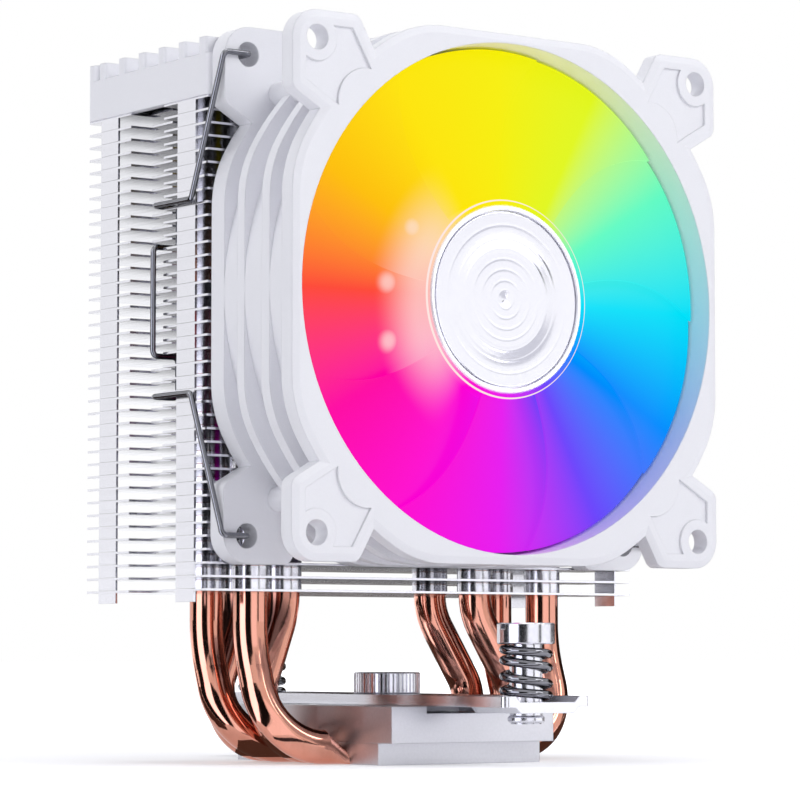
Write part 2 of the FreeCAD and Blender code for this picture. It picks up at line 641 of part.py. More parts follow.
def add_rim_outline(sketch):
    """A circle flattened at the fan's four sides, with a smooth blend from flat to circle."""
    edge = "fan_size / 2"
    inset = "(%s - rim_blend)" % edge
    blend_centre = "sqrt((rim_radius - rim_blend) ^ 2 - %s ^ 2)" % inset
    scale = "rim_radius / (rim_radius - rim_blend)"
    near = "%s * %s" % (inset, scale)
    far = "%s * %s" % (blend_centre, scale)
    quarter = [(edge, blend_centre, "rim_blend"), (near, far, "rim_radius"),
               (far, near, "rim_blend"), (blend_centre, edge)]
    corners = []
    for turn in range(4):
        corners += quarter
        quarter = [("-(%s)" % corner[1], corner[0]) + corner[2:] for corner in quarter]
    add_outline(sketch, corners)


def add_dish_outline(sketch):
    """The shallow dish moulded in an ear, bounded by the screw hole and the bore's side."""
    hole_side = "(fan_hole_pitch / 2 - sqrt(dish_hole_gap ^ 2 - (dish_edge - fan_hole_pitch / 2) ^ 2))"
    add_outline(sketch, [
        ("dish_edge", "dish_end"), ("dish_edge", hole_side, "-dish_hole_gap"),
        (hole_side, "dish_edge"), ("dish_end", "dish_edge"),
        ("dish_inner_near", "dish_inner_far", "-dish_inner_radius"),
        ("dish_inner_far", "dish_inner_near")])


def chamfer_front_edge(body):
    """Break the front flange's outer edge all round, wider across its face than down its side."""
    doc.recompute()
    base = body.Tip
    shape = base.Shape
    front = max(shape.Faces, key=lambda face: (round(face.CenterOfMass.z, 3), face.Area))
    rim = front.OuterWire.Edges
    names = ["Edge%d" % number for number, edge in enumerate(shape.Edges, start=1)
             if any(edge.isSame(other) for other in rim)]
    chamfer = body.newObject("PartDesign::Chamfer", "front_edge")
    chamfer.Base = (base, names)
    chamfer.ChamferType = "Two distances"
    chamfer.setExpression("Size", formula("rim_chamfer"))
    chamfer.setExpression("Size2", formula("rim_chamfer_depth"))
    body.Tip = chamfer


def build_fan_frame():
    """Moulded fan frame: duct, two eared flanges, two ribs, four posts and the motor plate."""
    body = new_body("fan_frame")
    duct = new_sketch(body, "duct_wall")
    add_circle(duct, "0", "0", "duct_radius")
    pad(body, duct, "fan_depth")
    rim_layers = (("0", "back_flange"), ("rib_one", "rib_one_depth"),
                  ("rib_two", "rib_two_depth"), ("fan_depth - front_flange", "front_flange"))
    for index, (start, depth) in enumerate(rim_layers):
        rim = new_sketch(body, "rim_%d" % index, start)
        add_rim_outline(rim)
        pad(body, rim, depth)

    corner_features = []
    for name, start, depth in (("back_ear", "0", "back_flange"),
                               ("front_ear", "fan_depth - front_flange", "front_flange")):
        ear = new_sketch(body, name, start)
        add_ear_outline(ear)
        corner_features.append(pad(body, ear, depth))
    post = new_sketch(body, "ear_post_outline")
    add_circle(post, "ear_post_reach", "ear_post_reach", "ear_post / 2")
    corner_features.append(pad(body, post, "fan_depth - front_flange"))
    dish = new_sketch(body, "ear_dish", "fan_depth")
    add_dish_outline(dish)
    corner_features.append(pocket(body, dish, "dish_depth"))
    hole = new_sketch(body, "ear_hole", "fan_depth")
    add_circle(hole, "fan_hole_pitch / 2", "fan_hole_pitch / 2", "fan_hole / 2")
    corner_features.append(pocket(body, hole, "2 * fan_depth"))
    repeat_round(body, corner_features, "4")

    bore = new_sketch(body, "bore")
    add_circle(bore, "0", "0", "bore_radius")
    pocket(body, bore, "fan_depth", reverse=True)
    plate = new_sketch(body, "motor_plate_outline")
    add_circle(plate, "0", "0", "motor_plate")
    add_circle(plate, "0", "0", "tube_radius")
    pad(body, plate, "motor_plate_depth")
    strut = new_sketch(body, "strut_outline")
    add_rectangle(strut, "motor_plate - strut_bury", "-strut_width / 2",
                  "bore_radius + strut_bury", "strut_width / 2")
    strut_pad = pad(body, strut, "strut_depth")
    repeat_round(body, [strut_pad], "4")
    notch = new_sketch(body, "cable_notch")
    add_rectangle(notch, "bore_radius - strut_bury", "-cable_notch_width - strut_width",
                  "fan_size", "-strut_width")
    pocket(body, notch, "cable_notch_depth", reverse=True)
    chamfer_front_edge(body)
    place_in_fan(body)


# ---------------------------------------------------------------- fan motor, held by the frame

BOARD_TOP = "(motor_plate_depth + board_depth)"


def build_bearing():
    place_in_fan(tube_body("bearing_tube", "tube_bore", "tube_radius", "end_cap_seat",
                           "tube_top"))
    place_in_fan(tube_body("sleeve_bearing", "shaft_radius + shaft_gap", "tube_bore",
                           "sleeve_bottom", "sleeve_top"))
    place_in_fan(tube_body("bearing_end_cap", "0", "tube_bore", "end_cap_seat",
                           "end_cap_seat + end_cap_depth"))


def build_circuit_board():
    place_in_fan(tube_body("circuit_board", "tube_radius", "board_radius",
                           "motor_plate_depth", BOARD_TOP))


def build_leds():
    """Light chips around the board's edge, under the hub's translucent wall."""
    body = new_body("led_chips")
    chip = new_sketch(body, "led_outline", BOARD_TOP)
    add_rectangle(chip, "led_reach - led_size / 2", "-led_size / 2",
                  "led_reach + led_size / 2", "led_size / 2")
    chip_pad = pad(body, chip, "led_height")
    repeat_round(body, [chip_pad], "led_count")
    place_in_fan(body)


def build_stator_core():
    """Laminated core: a hub ring, four arms and four pole shoes."""
    body = new_body("stator_core")
    ring = new_sketch(body, "core_outer", "core_bottom")
    add_circle(ring, "0", "0", "pole_outer")
    add_circle(ring, "0", "0", "tube_radius")
    pad(body, ring, "core_depth")
    slot = new_sketch(body, "core_slot", "core_bottom")
    arm = "arm_width / 2"
    hub_reach = "sqrt(core_hub ^ 2 - (arm_width / 2) ^ 2)"
    pole_reach = "sqrt(pole_inner ^ 2 - (arm_width / 2) ^ 2)"
    add_outline(slot, [(hub_reach, arm), (pole_reach, arm, "pole_inner"),
                       (arm, pole_reach), (arm, hub_reach, "-core_hub")])
    slot_cut = pocket(body, slot, "core_depth", reverse=True)
    gap = new_sketch(body, "pole_gap_outline", "core_bottom")
    near = "pole_inner / sqrt(2) - pole_gap"
    far = "pole_outer / sqrt(2) + pole_gap"
    lean = "pole_gap / 2"
    add_outline(gap, [(near + " + " + lean, near + " - " + lean),
                      (far + " + " + lean, far + " - " + lean),
                      (far + " - " + lean, far + " + " + lean),
                      (near + " - " + lean, near + " + " + lean)])
    gap_cut = pocket(body, gap, "core_depth", reverse=True)
    repeat_round(body, [slot_cut, gap_cut], "4")
    place_in_fan(body)


def build_stator_coils():
    """Four copper windings, each around one arm of the core."""
    body = new_body("stator_coils")
    winding = new_sketch(body, "coil_outline", "coil_bottom")
    add_rectangle(winding, "coil_start", "-coil_width / 2", "coil_end", "coil_width / 2")
    winding_pad = pad(body, winding, "coil_depth")
    window = new_sketch(body, "coil_window", "core_bottom")
    add_rectangle(window, "coil_start - 1", "-arm_width / 2", "coil_end + 1", "arm_width / 2")
    window_cut = pocket(body, window, "core_depth", reverse=True)
    repeat_round(body, [winding_pad, window_cut], "4")
    place_in_fan(body)


# ---------------------------------------------------------------- rotor

def build_rotor_metal():
    """Shaft, keeper washer, steel cup and magnet, which turn with the impeller."""
    place_in_fan(tube_body("rotor_shaft", "0", "shaft_radius", "shaft_bottom", "shaft_top"))
    place_in_fan(tube_body("keeper_washer", "shaft_radius", "keeper_radius", "keeper_bottom",
                           "keeper_bottom + keeper_depth"))
    place_in_fan(tube_body("magnet_ring", "magnet_inner", "cup_inner", "magnet_bottom",
                           "magnet_bottom + magnet_depth"))
    place_in_fan(turned_body("rotor_cup", [
        ("cup_inner", "cup_bottom"), ("cup_outer", "cup_bottom"), ("cup_outer", "cup_top"),
        ("boss_radius", "cup_top"), ("boss_radius", "cup_top - cup_plate"),
        ("cup_inner", "cup_top - cup_plate")]))


def build_hub_trim():
    """The ring and the dished cap that close the hub's front."""
    top = "hub_seat + trim_height"
    place_in_fan(turned_body("hub_trim_ring", [
        ("trim_inner", "hub_seat"), ("trim_outer", "hub_seat"), ("trim_outer", top + " - trim_chamfer"),
        ("trim_outer - trim_chamfer", top), ("trim_inner + deburr", top),
        ("trim_inner", top + " - deburr")]))
    edge = "hub_seat + cap_edge_height"
    middle = "hub_seat + cap_middle_height"
    place_in_fan(turned_body("hub_cap_disc", [
        ("0", "hub_seat"), ("cap_radius", "hub_seat"), ("cap_radius", edge + " - cap_edge_round"),
        ("cap_radius - cap_edge_round", edge), ("cap_radius - cap_rim_width", edge),
        ("cap_radius - cap_dish_width", middle + " + cap_dish_rise"), ("0", middle)]))


def blade_section(distance):
    """A blade's section in the plane at this distance from the axis, as a closed wire."""
    front = value("blade_front")
    back = value("blade_back")
    half_angle = math.radians(value("blade_span_angle")) / 2
    tip = value("blade_tip")
    sweep = math.radians(value("blade_sweep")) * (distance / tip) ** 2
    reach = distance * math.tan(half_angle)
    shift = distance * math.tan(sweep)
    middle_line = []
    for step in range(5):
        along = step / 4
        bow = value("blade_bow") * reach * math.sin(math.pi * along)
        middle_line.append(Vector(distance, shift + reach * (1 - 2 * along) - bow,
                                  front + (back - front) * along))
    half = value("blade_thickness") / 2
    edge_share = value("blade_edge_share")
    upper = []
    lower = []
    for step, point in enumerate(middle_line):
        before = middle_line[max(step - 1, 0)]
        after = middle_line[min(step + 1, 4)]
        run = (after - before).normalize()
        fullness = edge_share + (1 - edge_share) * math.sin(math.pi * step / 4)
        across = Vector(0, -run.z, run.y) * (half * fullness)
        upper.append(point + across)
        lower.append(point - across)
    upper_curve = Part.BSplineCurve()
    upper_curve.interpolate(upper)
    lower_curve = Part.BSplineCurve()
    lower_curve.interpolate(list(reversed(lower)))
    return Part.Wire([upper_curve.toShape(), Part.LineSegment(upper[-1], lower[-1]).toShape(),
                      lower_curve.toShape(), Part.LineSegment(lower[0], upper[0]).toShape()])


def build_impeller():
    """Frosted hub and blades in one moulding: a hub shell with swept, overlapping blades."""
    shell = turned_body("hub_shell", [
        ("cup_outer", "hub_bottom"), ("hub_radius", "hub_bottom"), ("hub_radius", "hub_front"),
        ("hub_rim_inner", "hub_front"), ("hub_rim_inner", "hub_seat"), ("0", "hub_seat"),
        ("0", "shaft_top"), ("shaft_radius", "shaft_top"), ("shaft_radius", "boss_bottom"),
        ("boss_radius", "boss_bottom"), ("boss_radius", "cup_top"), ("cup_outer", "cup_top")])
    doc.recompute()
    tip = value("blade_tip")
    root = value("blade_root")
    reach = tip + value("blade_overrun") - root
    distances = [root + reach * step / 4 for step in range(5)]
    blade = Part.makeLoft([blade_section(distance) for distance in distances], True, False)
    blade = blade.common(Part.makeCylinder(tip, value("fan_depth")))
    blade = blade.cut(Part.makeCylinder(value("blade_cut"), value("fan_depth")))
    pieces = []
    count = int(value("blade_count"))
    for index in range(count):
        turned = blade.copy()
        turned.rotate(Vector(0, 0, 0), Vector(0, 0, 1), index * 360 / count)
        pieces.append(turned)
    impeller = feature_of("impeller", shell.Shape.multiFuse(pieces))
    return place_in_fan(impeller)


# ---------------------------------------------------------------- wire clips

def build_wire_clip(label, side):
    """Spring-steel wire from one fan hole to the other, with a handle in the fins' notch."""
    middle = value("fan_centre_height")
    hole_x = value("fan_hole_pitch / 2")
    hole_z = value("fan_hole_pitch / 2")
    hook_y = value("clip_hook_y")
    seat_y = value("clip_seat_y")
    elbow = value("clip_elbow_reach")
    handle = value("clip_handle_reach")
    half = [(hole_x, hook_y + value("clip_tip"), hole_z), (hole_x, hook_y, hole_z),
            (value("clip_out"), hook_y, hole_z),
            (value("clip_side"), value("clip_elbow_y"), elbow),
            (value("clip_side"), seat_y, elbow), (value("clip_seat_x"), seat_y, elbow),
            (value("clip_seat_x"), seat_y, handle), (value("clip_side"), seat_y, handle)]
    points = [Vector(side * x, y, middle + z) for x, y, z in half]
    points += [Vector(side * x, y, middle - z) for x, y, z in reversed(half)]
    bends = [value("clip_bend")] * (len(points) - 2)
    feature_of(label, bent_rod(points, bends, value("clip_wire / 2")))


# ---------------------------------------------------------------- the whole cooler

build_base_plate()
build_clamp_block()
build_heat_pipes()
build_cooling_fins()
build_top_cover()
build_mounting_bar()
build_bar_stud()
build_thumb_nut()
for place, sign in (("front", "-"), ("rear", "")):
    build_spring_nut("spring_nut_" + place, sign)
    build_retaining_ring("retaining_ring_" + place, sign)
    build_spring("spring_" + place, sign)
build_fan_frame()
build_bearing()
build_circuit_board()
build_leds()
build_stator_core()
build_stator_coils()
build_rotor_metal()
build_hub_trim()
build_impeller()
build_wire_clip("clip_left", -1)
build_wire_clip("clip_right", 1)
doc.recompute()

HELPERS = ("hub_shell",)
failed = [item.Name for item in doc.Objects if "Invalid" in item.State or "Error" in item.State]
if failed:
    raise SystemExit("failed objects: " + ", ".join(failed))
os.makedirs("parts", exist_ok=True)
for item in doc.Objects:
    if item.TypeId not in ("PartDesign::Body", "Part::Feature") or item.Name in HELPERS:
        continue
    shape = item.Shape
    if shape.isNull() or not shape.isValid() or not shape.Solids:
        raise SystemExit("bad shape: " + item.Label)
    shape.exportStep(os.path.join("parts", item.Label + ".step"))
    print("%-20s %3d solids %10.1f mm3" % (item.Label, len(shape.Solids), shape.Volume))
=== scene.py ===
# %% [markdown]
# # A tower cooler with a lit fan
# The object is a processor cooler: a copper and aluminium heatsink with a 92 mm fan clipped to it.
# The construction comes ready as separate solids, which stay exactly where they are. This lesson
# gives them their finishes, and makes the pieces whose look depends on a rule: the fan's blades, the
# rippled hub cap and the two coil springs.

# %% Load the fixed frame
import json
import math

import bmesh
import bpy
from mathutils import Euler, Matrix, Vector


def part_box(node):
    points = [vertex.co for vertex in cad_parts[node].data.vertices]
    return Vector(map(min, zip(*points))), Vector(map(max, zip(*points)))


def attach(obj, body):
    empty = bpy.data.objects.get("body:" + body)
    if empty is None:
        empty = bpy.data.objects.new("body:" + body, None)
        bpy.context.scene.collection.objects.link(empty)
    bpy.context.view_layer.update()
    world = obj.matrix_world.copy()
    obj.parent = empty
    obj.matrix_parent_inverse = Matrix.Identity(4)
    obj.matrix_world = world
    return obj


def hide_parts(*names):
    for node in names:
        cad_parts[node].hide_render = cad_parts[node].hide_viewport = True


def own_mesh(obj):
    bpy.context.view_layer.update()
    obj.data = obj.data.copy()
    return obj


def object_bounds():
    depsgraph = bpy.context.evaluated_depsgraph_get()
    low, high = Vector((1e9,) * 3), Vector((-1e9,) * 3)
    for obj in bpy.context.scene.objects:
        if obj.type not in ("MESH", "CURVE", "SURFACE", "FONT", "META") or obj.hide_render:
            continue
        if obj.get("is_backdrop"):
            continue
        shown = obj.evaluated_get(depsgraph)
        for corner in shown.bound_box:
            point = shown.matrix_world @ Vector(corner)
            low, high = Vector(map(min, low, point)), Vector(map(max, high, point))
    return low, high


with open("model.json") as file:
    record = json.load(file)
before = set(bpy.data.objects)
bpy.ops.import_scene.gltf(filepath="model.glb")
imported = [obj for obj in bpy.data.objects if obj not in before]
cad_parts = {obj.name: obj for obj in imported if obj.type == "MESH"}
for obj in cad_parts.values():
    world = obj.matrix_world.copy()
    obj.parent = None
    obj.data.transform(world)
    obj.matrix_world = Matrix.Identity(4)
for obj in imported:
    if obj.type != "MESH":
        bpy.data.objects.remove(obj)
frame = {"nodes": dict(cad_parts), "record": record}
cad_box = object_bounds()
nodes = frame["nodes"]
scene = bpy.context.scene
MM = 0.001

# %% [markdown]
# ## The camera
# A long lens from the front left, a little below the middle of the object and tipped up, shows the
# fan's face, the fins' side and the base together. A long lens keeps upright edges nearly parallel.

# %% Camera
camera_data = bpy.data.cameras.new("camera")
camera_data.sensor_width = 36
camera_data.lens = 155.26
camera = bpy.data.objects.new("camera", camera_data)
camera.location = (-0.36245, -0.50686, 0.01916)
camera.rotation_euler = Euler((math.radians(94.206), 0, math.radians(-35.784)))
scene.collection.objects.link(camera)
scene.camera = camera

# %% [markdown]
# ## Two helpers that every material uses
# Colours are easiest to read as hex, but shaders work with linear light, so one function converts
# them. A second adds a node with its settings and its links in one line.

# %% Helpers for colours and nodes
def linear(colour):
    """An sRGB hex colour as the linear red, green, blue and alpha that a shader takes."""
    shades = [int(colour[start:start + 2], 16) / 255 for start in (0, 2, 4)]
    return tuple(s / 12.92 if s <= 0.04045 else ((s + 0.055) / 1.055) ** 2.4 for s in shades) + (1.0,)


def add(tree, kind, settings=None, links=None):
    """Adds a node. Settings are its properties or input values, and links are input: source."""
    node = tree.nodes.new(kind)
    for name, value in (settings or {}).items():
        if isinstance(name, str) and hasattr(node, name):
            setattr(node, name, value)
        else:
            node.inputs[name].default_value = value
    for name, source in (links or {}).items():
        tree.links.new(source, node.inputs[name])
    return node


def per_metre(size):
    """The pattern scale that makes one feature this many millimetres wide."""
    return 1 / (size * MM)


# %% [markdown]
# ## One recipe for a finish
# Nearly every finish here is a base colour that drifts slightly, a roughness that drifts with it, and
# a very low relief. One noise pattern can drive all three, because on a real surface they have one
# cause: the mould's texture, the rolling mill or the tumbling drum. The Bevel node rounds the look of
# a sharp edge, which is what a deburred or moulded edge does.

# %% A finish with grain
def finish(name, light, dark, metallic, roughness, grain, stretch=(1, 1, 1), relief=0.004,
           edge=0.15):
    """A material whose colour, roughness and relief follow one grain of this size in millimetres."""
    material = bpy.data.materials.new(name)
    material.use_nodes = True
    tree = material.node_tree
    shader = tree.nodes["Principled BSDF"]
    shader.inputs["Metallic"].default_value = metallic
    place = add(tree, "ShaderNodeTexCoord")
    turned = add(tree, "ShaderNodeMapping", {"Scale": stretch}, {"Vector": place.outputs["Object"]})
    noise = add(tree, "ShaderNodeTexNoise", {"Scale": per_metre(grain), "Detail": 3.0},
                {"Vector": turned.outputs["Vector"]})
    tint = add(tree, "ShaderNodeMix", {"data_type": "RGBA", 6: linear(dark), 7: linear(light)},
               {"Factor": noise.outputs["Fac"]})
    gloss = add(tree, "ShaderNodeMapRange",
                {"To Min": roughness * 0.8, "To Max": roughness * 1.2},
                {"Value": noise.outputs["Fac"]})
    edges = add(tree, "ShaderNodeBevel", {"samples": 4, "Radius": edge * MM})
    bump = add(tree, "ShaderNodeBump", {"Strength": 1.0, "Distance": relief * MM},
               {"Height": noise.outputs["Fac"], "Normal": edges.outputs["Normal"]})
    tree.links.new(tint.outputs[2], shader.inputs["Base Color"])
    tree.links.new(gloss.outputs["Result"], shader.inputs["Roughness"])
    tree.links.new(bump.outputs["Normal"], shader.inputs["Normal"])
    return material


# %% [markdown]
# ## White plastic
# The fan's frame and the cover over the fins are injection-moulded PBT in white. The mould is spark
# eroded, which leaves a fine satin grain and soft highlights.

# %% Moulded white plastic
def moulded_white():
    material = finish("moulded_white_pbt", "F5F5F9", "EFEFF3", 0.0, 0.42, 0.25, relief=0.012,
                      edge=0.3)
    material.node_tree.nodes["Principled BSDF"].inputs["IOR"].default_value = 1.55
    return material


white_plastic = moulded_white()

# %% [markdown]
# ## Bare metals
# The fins are punched from bright rolled aluminium strip, so their faint streaks run along the strip.
# Faces of the fins that look down are painted darker, as painted shade between the fins.
# The heat pipes are drawn copper tube, polished after bending: smooth, with streaks along the pipe.
# The base blocks are milled aluminium, and the cutter leaves fine parallel lines.

# %% Rolled fin aluminium and drawn copper
# The share of the painted shade between the fins that falls on faces that look up.
UPPER_SIDE_SHADE_SHARE = 0.4


def rolled_aluminium():
    """Painted shade between the fins: flat faces darken, most where they look down; edges and tabs
    don't.
    """
    material = finish("rolled_aluminium", "ECECF3", "E1E1E8", 1.0, 0.2, 1.2,
                      stretch=(1, 0.08, 1), relief=0.004, edge=0.05)
    tree = material.node_tree
    shader = tree.nodes["Principled BSDF"]
    bright = shader.inputs["Base Color"].links[0].from_socket
    facing = add(tree, "ShaderNodeSeparateXYZ",
                 links={"Vector": tree.nodes["Texture Coordinate"].outputs["Normal"]})
    flat = add(tree, "ShaderNodeMath", {"operation": "ABSOLUTE"}, {0: facing.outputs["Z"]})
    under = add(tree, "ShaderNodeMapRange", {"From Min": -1.0, "From Max": 1.0, "To Min": 1.0,
                                             "To Max": UPPER_SIDE_SHADE_SHARE},
                {"Value": facing.outputs["Z"]})
    share = add(tree, "ShaderNodeMath", {"operation": "MULTIPLY"},
                {0: flat.outputs["Value"], 1: under.outputs["Result"]})
    # The painted shade: this grey is mixed in by how flat a face lies and how far it looks down.
    shaded_fin_tint = add(tree, "ShaderNodeMix", {"data_type": "RGBA", 7: linear("68696F")},
               {"Factor": share.outputs["Value"], 6: bright})
    tree.links.new(shaded_fin_tint.outputs[2], shader.inputs["Base Color"])
    return material


fin_aluminium = rolled_aluminium()
drawn_copper = finish("polished_copper", "E3A491", "D2907A", 1.0, 0.1, 1.5,
                      stretch=(1, 1, 0.06), relief=0.003, edge=0.1)


# %% Milled aluminium
TOOL_MARK_SPACING = 2.513
WAVE_REPEAT = 2 * math.pi / 20


def milled_aluminium():
    """Tool marks about 2.5 mm apart. Real ones are under 0.4 mm, too fine to show from here.

    At scale 1 the wave texture repeats after 2 pi / 20, which its scale has to allow for.
    """
    material = finish("milled_aluminium", "D6D6DC", "C8C8CE", 1.0, 0.32, 0.5, relief=0.002,
                      edge=0.25)
    tree = material.node_tree
    place = tree.nodes["Texture Coordinate"].outputs["Object"]
    marks = add(tree, "ShaderNodeTexWave", {"Scale": per_metre(TOOL_MARK_SPACING) * WAVE_REPEAT,
                                            "Distortion": 0.6, "bands_direction": "Z"},
                {"Vector": place})
    old_bump = tree.nodes["Bump"]
    bump = add(tree, "ShaderNodeBump", {"Strength": 0.6, "Distance": 0.003 * MM},
               {"Height": marks.outputs["Fac"], "Normal": old_bump.outputs["Normal"]})
    tree.links.new(bump.outputs["Normal"], tree.nodes["Principled BSDF"].inputs["Normal"])
    return material


block_aluminium = milled_aluminium()
print("metals:", fin_aluminium.name, drawn_copper.name, block_aluminium.name)

# %% [markdown]
# ## Plated and turned hardware
# The bar is stamped steel with bright nickel plating. The nuts are turned brass, nickel plated too.
# The springs are chrome plated, with a base colour darker than bright chrome, and the clips are drawn
# stainless wire.

# %% Hardware metals
nickel_plate = finish("nickel_plated_steel", "DCDCE2", "CECED6", 1.0, 0.16, 0.8, relief=0.003,
                      edge=0.2)
turned_nickel = finish("nickel_plated_brass", "D2D0CE", "BEBBB8", 1.0, 0.08, 0.2,
                       stretch=(0.05, 0.05, 1), relief=0.003, edge=0.12)
spring_chrome = finish("chromed_spring_steel", "8A8A90", "707076", 1.0, 0.08, 0.6, relief=0.002,
                       edge=0.02)
drawn_wire = finish("drawn_stainless_wire", "8E8F95", "6E6F75", 1.0, 0.2, 0.5,
                    stretch=(1, 1, 0.1), relief=0.003, edge=0.02)
ground_steel = finish("ground_steel", "C9CACF", "B4B5BA", 1.0, 0.18, 0.3, stretch=(1, 0.1, 1))
sheet_steel = finish("electrical_steel", "8A8B90", "74757A", 1.0, 0.38, 0.5)
pressed_steel = finish("zinc_plated_steel", "B9BBC0", "A4A6AB", 1.0, 0.3, 0.8)
ferrite = finish("bonded_ferrite_magnet", "3B3A3C", "2E2D2F", 0.0, 0.55, 0.3, relief=0.01)
winding_wire = finish("enamelled_copper_wire", "B4653C", "8C4526", 0.8, 0.28, 0.3,
                      stretch=(0.3, 0.3, 4), relief=0.05)

# %% [markdown]
# ## Small plastics
# Inside the fan are a dark nylon bearing cap, an oiled bronze-coloured sleeve, a white circuit board
# and eight clear light chips.

# %% Small plastics and the board
dark_nylon = finish("black_nylon", "2A2A2D", "202023", 0.0, 0.45, 0.4, relief=0.01)
keeper_nylon = finish("natural_nylon", "E4DFD2", "D8D2C4", 0.0, 0.4, 0.4, relief=0.008)
board_laminate = finish("white_solder_mask", "F1F1EE", "E5E5E1", 0.0, 0.35, 0.6, relief=0.01)
led_resin = finish("clear_led_resin", "F6F2E0", "EDE6CC", 0.0, 0.12, 0.6, relief=0.002)
sleeve_bronze = finish("oiled_sintered_bronze", "B08A54", "96713F", 1.0, 0.35, 0.15, relief=0.01)


# %% [markdown]
# ## The lit plastic
# Blades and hub are one moulding in frosted polycarbonate. Eight coloured chips behind the hub fill it
# with light, here painted into the plastic as a glow whose colour depends only on the direction from
# the axis. So the material measures that direction in the fan's own plane and looks it up in a ramp.

# %% Lit polycarbonate
fan_low, fan_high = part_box("impeller")
axis_point = (fan_low + fan_high) / 2
LED_COLOURS = ["E814F0", "FF00D0", "FF00A4", "FF4A38", "FFC000", "FFE600",
               "F8F000", "E2F81C", "64FCC4", "00E2FA", "008CFF", "6C44FC"]
CHIP_GLINTS = [(-0.0245, 0, 0.0015), (-0.0235, 0, -0.0083), (-0.019, 0, 0.0112)]
GLINT_MIDDLE, GLINT_EDGE, GLINT_WHITENESS = 0.2 * MM, 2.9 * MM, 0.6
# The glare is on the low-X side. These are X over radius, where it starts and where it is full.
GLARE_STARTS, GLARE_FULL = -0.45, -0.95
GLARE_NEAR, GLARE_FAR = 17.5 * MM, 27.5 * MM
# A painted highlight: a thin whitish ring on the lip of the hub's shell.
LIP_HIGHLIGHT_RADIUS, LIP_HIGHLIGHT_HALF_WIDTH = 17.2 * MM, 0.13 * MM
BACK_GLOW = 0.2


